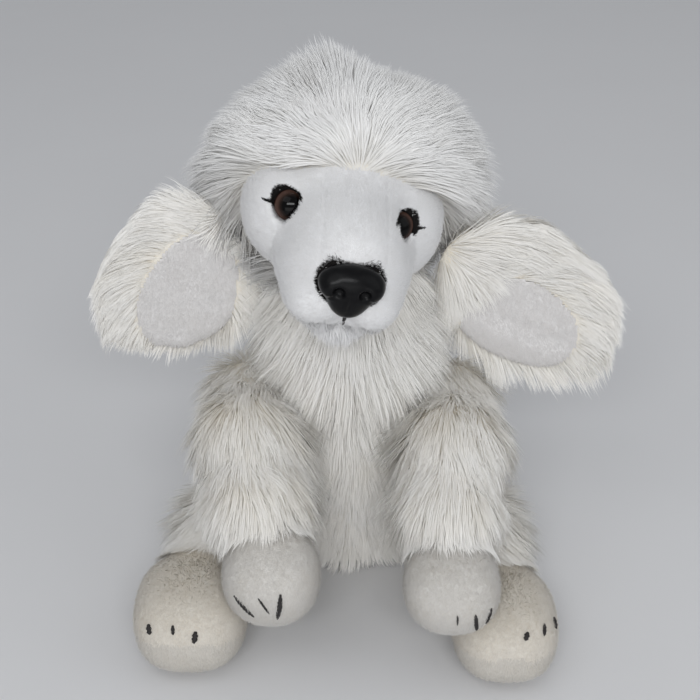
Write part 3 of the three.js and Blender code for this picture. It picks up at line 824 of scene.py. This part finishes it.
FACE_LOOK = (pile_white, "short_pile_white", 0.8)
CROWN_LOOK = (cloth_white, "long_fur_white", 0.8)
head_parts = skin_pieces(head_points, head_quads, [
    ("chin_panel", on_face(lambda q: q[:, 2] < CHIN_SEAM_Z - 3), *FACE_LOOK),
    ("face_gusset", on_face(lambda q: np.abs(q[:, 0]) < FACE_GUSSET_HALF_WIDTH), *FACE_LOOK),
    ("face_cheek_right", on_face(lambda q: q[:, 0] < 0), *FACE_LOOK),
    ("face_cheek_left", on_face(lambda q: q[:, 0] > 0), *FACE_LOOK),
    ("head_top_gusset", on_crown(lambda q: np.abs(q[:, 0]) < TOP_GUSSET_HALF_WIDTH), *CROWN_LOOK),
    ("head_side_right", on_crown(lambda q: q[:, 0] < 0), *CROWN_LOOK),
    ("head_side_left", on_crown(lambda q: q[:, 0] > 0), *CROWN_LOOK),
], "head")

# the point over the brow from which the hair is combed away
BROW_PART = np.array([0.0, -46.0, 27.0])


def head_comb(p, n):
    """The fur parts over the brow, sweeps to both sides, and stands up and back over the crown."""
    q = to_head(p)
    away = q - BROW_PART
    away[:, 0] *= 1.5
    away[:, 2] -= 6 * np.clip(np.abs(q[:, 0]) / 40, 0, 1.5)
    side = clamp((np.abs(q[:, 0]) - 30) / 30)
    low = clamp((24 - q[:, 2]) / 40)
    out = np.sign(q[:, 0]) * 0.75 * side * low
    away = unit(away) + np.stack([out, 0.25 + 0 * side, -0.95 * side * low], 1) + 0.34 * waves(q, 52.0, 21)
    return away @ HEAD_TURN.T


def tuft_share(q):
    """1 in the middle of the topknot's tuft, falling to 0 round it."""
    away = ((q[:, 0] + 15) / 14) ** 2 + ((q[:, 1] + 4) / 24) ** 2
    return np.exp(-away) * clamp((q[:, 2] - 20) / 20)


def head_lift(p):
    q = to_head(p)
    top = clamp(q[:, 2] / 50)
    side = clamp((np.abs(q[:, 0]) - 25) / 25)
    brow = clamp(1 - (-mask_depth(q)) / 16) * (q[:, 1] < 0)
    return 34 + 14 * top - 8 * brow - 6 * side + 14 * tuft_share(q)


def head_length(p):
    q = to_head(p)
    top = clamp((q[:, 2] - 20) / 30)
    side = clamp((np.abs(q[:, 0]) - 35) / 20)
    low = clamp((16 - q[:, 2]) / 24)
    return 31 - 2 * top + 12 * tuft_share(q) + 17 * side * low


# the rounded shape that the hair is clipped to
HAIR_CENTRE = np.array([6.0, 4.0, 6.0])
HAIR_RADII = np.array([86.0, 60.0, 52.0])
# each tuft's direction from the hair's centre, its height and its width
TUFTS = [((-0.25, -0.05, 0.97), 0.42, 0.18), ((0.45, 0.0, 0.89), 0.20, 0.24)]


def head_trim(p):
    """The hair is clipped to a rounded shape with a tuft on the dog's right and a low one on its left."""
    q = to_head(p) - HAIR_CENTRE
    below = q[:, 2] < 0
    wider = 1 + 0.22 * clamp(-q[:, 2] / 20)
    scaled = q / (HAIR_RADII * np.stack([wider, 1 + 0 * wider, np.where(below, 2.0, 1.0)], 1))
    reach = np.linalg.norm(scaled, axis=1)
    way = unit(scaled)
    limit = 1
    for at, high, wide in TUFTS:
        limit = limit + high * np.exp(-(((way - np.array(at)) ** 2).sum(1) / wide ** 2))
    over = np.maximum(reach - 0.92 * limit, 0)
    share = np.where(over > 0, (0.92 * limit + 0.4 * over) / np.maximum(reach, 1e-6), 1)
    return from_head(q * share[:, None] + HAIR_CENTRE)


def off_mask(p):
    q = to_head(p)
    clear = np.all([np.linalg.norm(q - eye, axis=1) > 18 for eye in EYES.values()], axis=0)
    return ((mask_depth(q) < 0.5) & clear) * 1.0


def head_and_ears(p):
    return np.min([head_field(p)] + [f(p) for f in EAR_FIELDS], axis=0)


for part, name, push in (
        ("head_top_gusset", "crown_fur", head_field),
        ("head_side_right", "head_fur_right", head_and_ears),
        ("head_side_left", "head_fur_left", head_and_ears)):
    long_fur(name, "head", "long_fur_white", fur_white, head_parts[part], head_field, head_comb,
             head_length, head_lift, 0.15, 1.15, off_mask, 0.54, tint=0.07, pull=0.13, trim=head_trim,
             push=push)


def face_comb(p, n):
    q = to_head(p)
    away = q - np.array([0, -110.0, -12.0])
    return unit(away) @ HEAD_TURN.T


def eye_reach(q, side):
    """How deep in the black pile beside one eye a point is: above it and out to its corner."""
    eye = EYES[side]
    x, z = (q[:, 0] - eye[0]) * math.copysign(1.0, eye[0]), q[:, 2] - eye[2]
    ring = np.hypot(x, z)
    upper = clamp((z + 0.5 + 0.45 * np.maximum(x, -2) + 1.6 * np.minimum(x + 2, 0)) / 3)
    upper = upper * (x > -5.0)
    thick = 0.3 + 1.5 * bell((np.arctan2(z, x) - 0.6) / 0.6)
    above = bell(np.maximum(np.abs(ring - EYE_RADIUS) - thick, 0) / 0.7) * upper
    point = (1.2 - 0.17 * np.maximum(x - 8, 0)).clip(0.25)
    corner = bell((z - 0.3 + 0.1 * (x - 8)) / point) * (x > 6.5) * (x < 13.8)
    return clamp(above + corner) * (q[:, 1] < -20)


def nose_reach(q):
    x, z = q[:, 0], q[:, 2] - NOSE_CENTRE[2]
    ring = np.maximum(0, ellipsoid(np.stack([x, 0 * x, z], 1), (0, 0, 0.6), (16.0, 8, 10.4)))
    corner = bell((np.abs(x) - 10.5) / 5.0) * (z > 3)
    rim = bell(ring / (0.7 + 2.6 * corner))
    return rim * (q[:, 1] < -70)


def dark_share(p):
    q = to_head(p)
    return clamp(np.maximum.reduce([eye_reach(q, "right"), eye_reach(q, "left"), nose_reach(q)]))


for part in ("face_gusset", "face_cheek_right", "face_cheek_left"):
    fuzz(part + "_pile", "head", fuzz_white, head_parts[part], head_field, face_comb,
         2.0, 3.2, lambda p: 1 - 0.96 * (dark_share(p) > 0.45), 0.30, 34.0)


def chin_length(p):
    q = to_head(p)
    return 2.2 + 6.0 * bell(q[:, 0] / 15) * clamp((-q[:, 1] - 56) / 14)


def same_way(*way):
    """A comb that lays all the fur the same way."""
    return lambda p, n: np.broadcast_to(np.array(way, float), p.shape)


fuzz("chin_pile", "head", fuzz_white, head_parts["chin_panel"], head_field,
     same_way(0, -0.25, -1.0), chin_length, 3.2, None, 0.34, 40.0, 0.3)

face_points, face_quads = surface(head_field, (-50, -104, 196), (46, -26, 252), 0.9)
face_centres = face_points[face_quads].mean(1)
face_lift = unit(slope(head_field, face_points)) * 0.35
NOSE_REACH = 18  # black pile this near the middle is the nose's
for name, test in (
        ("eye_right_black_pile", lambda q: q[:, 0] < -NOSE_REACH),
        ("eye_left_black_pile", lambda q: q[:, 0] > NOSE_REACH),
        ("nose_black_pile", lambda q: np.abs(q[:, 0]) <= NOSE_REACH)):
    near = on_mask(face_centres) & test(to_head(face_centres))
    share = dark_share(face_centres)
    patch = part_of(face_points + face_lift, face_quads, near & (share > 0.72))
    attach(mesh_object(name + "_cloth", *patch, pile_black), "head")
    skin = part_of(face_points, face_quads, near & (share > 0.03))
    fuzz(name, "head", fuzz_black, skin, head_field, face_comb, 1.3, 24.0,
         lambda p: clamp(dark_share(p) * 1.3 - 0.12) ** 1.3, 0.17, 30.0)


# eyes
def eye_dome(side):
    """A flattened dome. Its u runs from the pupil's middle, which is towards the nose, to the edge."""
    eye = EYES[side]
    out = math.copysign(1.0, eye[0])
    outward = EYE_GAZE * np.array([out, 1, 1])
    outward = outward / np.linalg.norm(outward)
    across = unit(np.cross(outward, np.array([0, 0, 1.0])))
    up = np.cross(across, outward)
    pupil = np.array([-1.5 * out, 0, -0.7])
    rings, spokes = 24, 44
    points, uv = [], []
    for angle in np.linspace(0, np.pi * 0.62, rings):
        radius, depth = EYE_RADIUS * math.sin(angle), EYE_BULGE * math.cos(angle)
        for spin in np.linspace(0, 2 * np.pi, spokes, endpoint=False):
            spot = outward * depth + across * radius * math.cos(spin) + up * radius * math.sin(spin)
            away = spot - pupil
            away = away - outward * (away @ outward)
            points.append(spot)
            uv.append((min(0.99, np.linalg.norm(away) / (EYE_RADIUS + 1.0)), 0.5))
    faces = ring_faces(rings, spokes)[:, [0, 3, 2, 1]]
    points = from_head(np.array(points) + eye)
    dome = mesh_object(f"eye_{side}_dome", points, faces, eye_plastic, True, np.array(uv))
    attach(dome, "head", [f"eye_{side}"])


for side in EYES:
    eye_dome(side)

# nose
nose = surface(nose_field, (-32, -110, 194), (32, -74, 234), 0.7)
attach(mesh_object("nose_moulding", *nose, nose_plastic), "head", ["nose"])


def thread(name, body, route, radius, nodes):
    """A stitched line of two-ply thread: a tube whose radius, from (start, end), follows the twist."""
    route = np.array(route, float)
    span = np.concatenate([[0], np.cumsum(np.linalg.norm(np.diff(route, axis=0), axis=1))])
    count = max(8, int(span[-1] / 0.45))
    s = np.linspace(0, span[-1], count)
    line = np.stack([np.interp(s, span, route[:, k]) for k in range(3)], 1)
    for _ in range(6):
        line[1:-1] = (line[:-2] + 2 * line[1:-1] + line[2:]) / 4
    along = unit(np.gradient(line, axis=0))
    side = unit(np.cross(along, np.array([0.3, 0.2, 1.0])))
    up = np.cross(along, side)
    spokes = 10
    points = []
    for k in range(count):
        taper = min(1.0, 0.35 + 3.0 * min(k, count - 1 - k) / count)
        here = (radius[0] + (radius[1] - radius[0]) * k / count) * taper
        for j in range(spokes):
            spin = 2 * math.pi * j / spokes
            size = here * (1 + 0.22 * math.cos(2 * (spin - s[k] * 1.6)))
            points.append(line[k] + side[k] * size * math.cos(spin) + up[k] * size * math.sin(spin))
    tube = mesh_object(name, np.array(points), ring_faces(count, spokes), thread_black)
    return attach(tube, body, nodes)


def onto(field, route, lift):
    """The route's points moved onto the skin of a field, and then out by lift."""
    p = np.array(route, float)
    for _ in range(8):
        g = slope(field, p)
        p = p - g * ((field(p) - lift) / np.maximum((g * g).sum(1), 0.05))[:, None]
    return p


def face_route(route, lift):
    """Points over the muzzle from (across, up) in the head's frame, found by coming in from the front."""
    q = np.array([(x, -112.0, z) for x, z in route])
    for _ in range(400):
        outside = face_field(q) > lift
        q[outside, 1] += 0.15
    return from_head(q)


PHILTRUM = [(0.2, -25), (0.4, -30), (0.8, -34.5), (1.3, -38), (1.7, -40.5)]
MOUTH = [(-12, -41.0), (-7, -38.6), (-1.8, -36.0), (6, -38.0), (12, -41.0)]
thread("philtrum_thread", "head", face_route(PHILTRUM, 0.5), (1.3, 0.5), ["philtrum_stitch"])
thread("mouth_thread", "head", face_route(MOUTH, -0.55), (0.4, 0.4), ["mouth_stitch"])


# limbs
def limb_pieces(kind, side, spec, cover, cover_material, cover_slot, fuzz_material):
    body = f"{kind}_{side}"
    field = limb_field(spec)
    joint = np.array(spec["joint"], float)
    path = np.array(spec["route"] + [spec["paw"]], float) + joint
    radius = max(*spec["radii"], *spec["paw_radii"]) + 6
    low, high = path.min(0) - radius, path.max(0) + radius
    low[2] = max(low[2], -3)
    points, quads = surface(field, low, high, 2.4)

    def on_cover(c):
        sleeve, paw, _ = paw_parts(c, spec)
        return paw < sleeve + 2.5

    rules = []
    if kind == "leg":
        def on_sole(c):
            _, _, at = paw_parts(c, spec)
            return on_cover(c) & (at[:, 2] < -0.26 - 0.52 * at[:, 1])
        rules.append((f"{cover}_{side}_sole", on_sole, pile_sole, "sole_pile", 0.8))
    rules.append((f"{cover}_{side}_cover", on_cover, cover_material, cover_slot, 0.8))
    rules.append((f"{kind}_{side}_sleeve", the_rest, cloth_ivory, "long_fur_ivory", 0.7))
    made = skin_pieces(points, quads, rules, body)

    tips = np.array(spec["route"], float) + joint
    base_length = 29 if kind == "arm" else 25

    def near_root(p, reach):
        return np.exp(-((p - joint)[:, 1] ** 2) / reach)

    def outer_side(p):
        """From 0 to 1 towards an arm's outer side."""
        return clamp(np.sign(joint[0]) * (p - joint)[:, 0] / 20) * (kind == "arm")

    def comb(p, n):
        best = np.full(len(p), 1e9)
        way = np.zeros_like(p)
        for a, b in zip(tips[:-1], tips[1:]):
            d = b - a
            t = clamp((p - a) @ d / (d @ d))
            far = np.linalg.norm(p - a - t[:, None] * d, axis=1)
            closer = far < best
            best = np.where(closer, far, best)
            way[closer] = d / np.linalg.norm(d)
        out = np.sign(joint[0])
        if kind == "leg":
            return way + np.array([0.15 * out, 0, -0.35])
        shoulder = near_root(p, 500)[:, None]
        hang = 1 - 0.9 * clamp(n[:, 2:])  # fur on top lies along the limb, and the rest hangs too
        return way + hang * (np.array([0.08 * out, 0, -0.75]) + np.array([0.5 * out, 0, -0.3]) * shoulder)

    def length(p):
        sleeve, paw, _ = paw_parts(p, spec)
        cuff = np.exp(-np.maximum(paw, 0) / 11)
        outer = outer_side(p)
        root = near_root(p, 500) * (kind == "arm")
        return base_length - 19 * cuff - 5 * outer * (1 - cuff) - 8 * root * (1 - outer)

    def lift(p):
        sleeve, paw, _ = paw_parts(p, spec)
        shoulder = near_root(p, 900) * (kind == "arm")
        return 30 - 6 * shoulder - 12 * outer_side(p) - 12 * np.exp(-np.maximum(paw, 0) / 8)

    long_fur(f"{kind}_{side}_fur", body, "long_fur_ivory", fur_ivory, made[f"{kind}_{side}_sleeve"],
             field, comb, length, lift, 0.20, 0.95)

    def paw_comb(p, n):
        across = (p[:, 0] - path[-1, 0]) / 40
        return np.stack([across, -0.6 + 0 * across, -1 + 0 * across], 1)

    fuzz(f"{cover}_{side}_pile", body, fuzz_material, made[f"{cover}_{side}_cover"],
         field, paw_comb, 2.0, 3.6, None, 0.30)
    if kind == "leg":
        fuzz(f"{cover}_{side}_sole_pile", body, fuzz_sole, made[f"{cover}_{side}_sole"],
             field, paw_comb, 1.8, 2.4, None, 0.34)
    return field


# each line's points as (across, up) in parts of the paw's radii, and its thickness
STITCHES = {
    ("arm", "right"): [
        ([(-0.66, 0.43), (-0.47, 0.32), (-0.30, 0.13)], 0.9),
        ([(-0.20, 0.62), (-0.10, 0.49), (0.0, 0.30)], 0.55),
        ([(0.22, 0.68), (0.20, 0.44), (0.15, 0.10)], 1.15),
    ],
    ("arm", "left"): [
        ([(0.05, 0.40), (0.06, 0.26), (0.06, 0.12)], 0.5),
        ([(0.40, 0.34), (0.43, 0.0), (0.45, -0.34)], 1.0),
        ([(0.72, 0.24), (0.68, 0.04), (0.62, -0.20)], 0.8),
    ],
    ("leg", "right"): [
        ([(-0.56, 0.49), (-0.55, 0.43), (-0.54, 0.36)], 1.3),
        ([(-0.19, 0.60), (-0.19, 0.54), (-0.18, 0.47)], 0.9),
        ([(0.18, 0.52), (0.17, 0.42), (0.15, 0.33)], 1.4),
    ],
    ("leg", "left"): [
        ([(0.30, 0.66), (0.28, 0.62), (0.25, 0.57)], 1.3),
        ([(0.59, 0.63), (0.58, 0.57), (0.56, 0.51)], 0.9),
        ([(0.80, 0.53), (0.81, 0.46), (0.82, 0.39)], 0.9),
    ],
}


def stitches(kind, side, spec, cover, word, field):
    radii = np.array(spec["paw_radii"], float)
    for index, (route, radius) in enumerate(STITCHES[kind, side], 1):
        line = []
        for across, height in route:
            forward = math.sqrt(max(0.05, 1 - across ** 2 - height ** 2))
            x, y, z = across * radii[0], -forward * radii[1], height * radii[2]
            line.append((x, *turn(y, z, spec["pitch"])))
        line = onto(field, np.array(line) + np.array(spec["paw"]) + np.array(spec["joint"]), 0.9)
        node = f"{cover}_{side}_{word}_{index}"
        thread(node + "_thread", f"{kind}_{side}", line, (radius, radius), [node])


for side, spec in ARMS.items():
    field = limb_pieces("arm", side, spec, "paw", pile_warm, "short_pile_warm", fuzz_warm)
    stitches("arm", side, spec, "paw", "claw_stitch", field)
for side, spec in LEGS.items():
    field = limb_pieces("leg", side, spec, "foot", pile_cream, "short_pile_cream", fuzz_cream)
    stitches("leg", side, spec, "foot", "toe_stitch", field)


# ears
def ear_pieces(side, ear):
    body = f"ear_{side}"
    field = ear_field(ear)
    centre = np.array(ear["centre"], float)
    reach = np.array([60, 16, 60])
    points, quads = surface(field, centre - reach, centre + reach, 1.6)
    lining_centre = np.array([ear["lining"][0], ear["centre"][1], ear["lining"][1]], float)

    def lining_place(p):
        q = p - lining_centre
        return turn(q[:, 0], q[:, 2], ear["side"] * ear["lining_slope"])

    def lining_ring(p):
        along, across = lining_place(p)
        wobble = 1 + 0.035 * np.sin(3 * np.arctan2(across, along) + 1.0)
        return np.hypot(along / ear["lining_radii"][0], across / ear["lining_radii"][1]) / wobble

    def faces_front(p):
        return unit(slope(field, p))[:, 1] < 0

    centres = points[quads].mean(1)
    front = faces_front(centres)
    inner = front & (lining_ring(centres) < 1.0)
    rest = part_of(points, quads, ~inner)
    fur_cloth = mesh_object(f"ear_{side}_fur_cloth", *rest, cloth_ivory)
    attach(fur_cloth, body, [f"ear_{side}_fur"])

    lining_points, lining_quads = part_of(points, quads, front & (lining_ring(centres) < 1.03))
    along, across = lining_place(lining_points)
    crease = -1.0 * bell((across - 3 - 0.12 * along) / 5.0)
    crease = crease + 0.8 * bell((across + 7) / 7.0)
    hem = clamp((1.03 - lining_ring(lining_points)) / 0.10)
    lift = 0.5 + (0.5 + crease) * hem + 0.25 * waves(lining_points, 26.0, 11)[:, 0] * hem
    lining_points = lining_points + unit(slope(field, lining_points)) * lift[:, None]
    lining = mesh_object(f"ear_{side}_lining_cloth", lining_points, lining_quads, pile_lining)
    attach(lining, body, [f"ear_{side}_lining"])
    fuzz(f"ear_{side}_lining_pile", body, fuzz_lining, (lining_points, lining_quads),
         field, same_way(ear["side"] * 0.5, 0, -1.0), 1.8, 3.0, None, 0.3)
    hinge = np.array(ear["hinge"], float)

    def comb(p, n):
        from_root = unit((p - hinge) * (1, 0.2, 1))
        from_lining = unit((p - lining_centre) * (1, 0.0, 1))
        front = (n[:, 1] < 0)[:, None]
        near = bell((lining_ring(p) - 1) / 0.4)[:, None]
        share = np.where(front, 0.35 + 0.9 * near, 0.2)
        return share * from_lining + from_root + np.array([0, 0, -0.3])

    def length(p):
        ring = lining_ring(p)
        low = clamp((lining_centre[2] - 12 - p[:, 2]) / 16)
        whole = np.where(faces_front(p), 14 + 22 * np.clip(ring - 1, 0, 0.6), 24)
        return whole * (1 - (0.5 if side == "right" else 0.15) * low)

    def trim(p):
        over = np.maximum(np.abs(p[:, 0]) - ear["reach"], 0)
        p = p - np.stack([np.sign(p[:, 0]) * over * 0.55, 0 * over, 0 * over], 1)
        (x, z), (nx, nz), limit = ear["top_line"]  # a point, the way out from it and the distance kept
        over = 0.7 * np.maximum((p[:, 0] - x) * nx + (p[:, 2] - z) * nz - limit, 0)
        return p - np.stack([nx * over, 0 * over, nz * over], 1)

    def keep(p):
        return np.where(faces_front(p) & (lining_ring(p) < 0.99), 0.0, 1.0)

    long_fur(f"ear_{side}_long_fur", body, "long_fur_ivory", fur_ivory, rest, field, comb, length, 19.0,
             0.15, 1.5, keep, 0.42, tint=0.05, trim=trim)


for side, ear in EARS.items():
    ear_pieces(side, ear)

# tail
tail = surface(tail_field, (-16, 36, 24), (16, 90, 92), 2.4)
tail_parts = skin_pieces(*tail, [
    ("tail_fur", the_rest, cloth_ivory, "long_fur_ivory", 0.6),
], "tail")
long_fur("tail_long_fur", "tail", "long_fur_ivory", fur_ivory, tail_parts["tail_fur"], tail_field,
         same_way(0, 0.3, 1.0), lambda p: np.full(len(p), 17.0), 48.0, 0.05, 1.2)

# the filling and washers keep their CAD shapes
for node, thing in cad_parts.items():
    if thing.hide_render:
        continue
    thing.data.materials.clear()
    if node.endswith("stuffing"):
        thing.data.materials.append(fibre_white)
    elif node.endswith("bag"):
        thing.data.materials.append(bag_cloth)
    elif node.endswith("washer"):
        thing.data.materials.append(washer_grey)
    else:
        raise RuntimeError("CAD node left showing: " + node)


# ---- stage, light and camera ----

FLOOR_REACH = 30000.0
floor_grey = noise_material(
    "floor_grey", (0.7289, 0.7289, 0.73875), (0.74, 0.74, 0.75), 6, 0.8, 0.03, 300)
floor_corners = FLOOR_REACH * np.array([(-1, -1, 0), (1, -1, 0), (1, 1, 0), (-1, 1, 0)])
floor = mesh_object("floor", floor_corners, np.array([(0, 1, 2, 3)]), floor_grey)


def area_light(name, place, target, size, power, color=(1, 1, 1)):
    data = bpy.data.lights.new(name, "AREA")
    data.shape = "RECTANGLE"
    data.size, data.size_y = size
    data.energy = power
    data.color = color
    light = bpy.data.objects.new(name, data)
    light.location = place
    light.rotation_mode = "QUATERNION"
    light.rotation_quaternion = (Vector(target) - Vector(place)).to_track_quat("-Z", "Y")
    bpy.context.scene.collection.objects.link(light)


area_light("key", (-0.6, -0.9, 1.6), (0, 0, 0.12), (1.2, 0.9), 3.0)
area_light("front", (0.0, -1.9, 1.4), (0, 0, 0.10), (1.5, 0.36), 18.2, (0.98, 0.99, 1.0))
area_light("low", (0.0, -1.6, 0.32), (0, 0, 0.06), (1.7, 0.5), 3.6)
area_light("fill", (1.3, -0.6, 1.0), (0, 0, 0.12), (1.2, 1.2), 2.4, (0.97, 0.985, 1.0))
area_light("window", (0.1, 1.0, 1.5), (0, 0, 0.15), (1.4, 1.0), 1.0)
world = bpy.data.worlds.new("studio")
world.use_nodes = True
world.node_tree.nodes["Background"].inputs["Color"].default_value = (0.80, 0.82, 0.85, 1)
world.node_tree.nodes["Background"].inputs["Strength"].default_value = 0.46
bpy.context.scene.world = world
bpy.context.scene.view_settings.view_transform = "Standard"
bpy.context.scene.cycles.diffuse_bounces = 10  # light passes through many white strands
bpy.context.scene.cycles.max_bounces = 14

CAMERA_DISTANCE = 0.8
CAMERA_ELEVATION = math.radians(30)
CAMERA_LENS = 73.44  # millimetres, with the sensor width below
SENSOR_WIDTH = 36
TARGET = Vector((0, 0, 0.128))
camera_data = bpy.data.cameras.new("camera")
camera_data.sensor_width = SENSOR_WIDTH
camera_data.lens = CAMERA_LENS
camera_data.clip_start = 0.01
camera_data.clip_end = 100
camera = bpy.data.objects.new("camera", camera_data)
back = Vector((0, -math.cos(CAMERA_ELEVATION), math.sin(CAMERA_ELEVATION)))
camera.location = TARGET + back * CAMERA_DISTANCE
camera.rotation_mode = "QUATERNION"
camera.rotation_quaternion = (-back).to_track_quat("-Z", "Y")
bpy.context.scene.collection.objects.link(camera)
bpy.context.scene.camera = camera
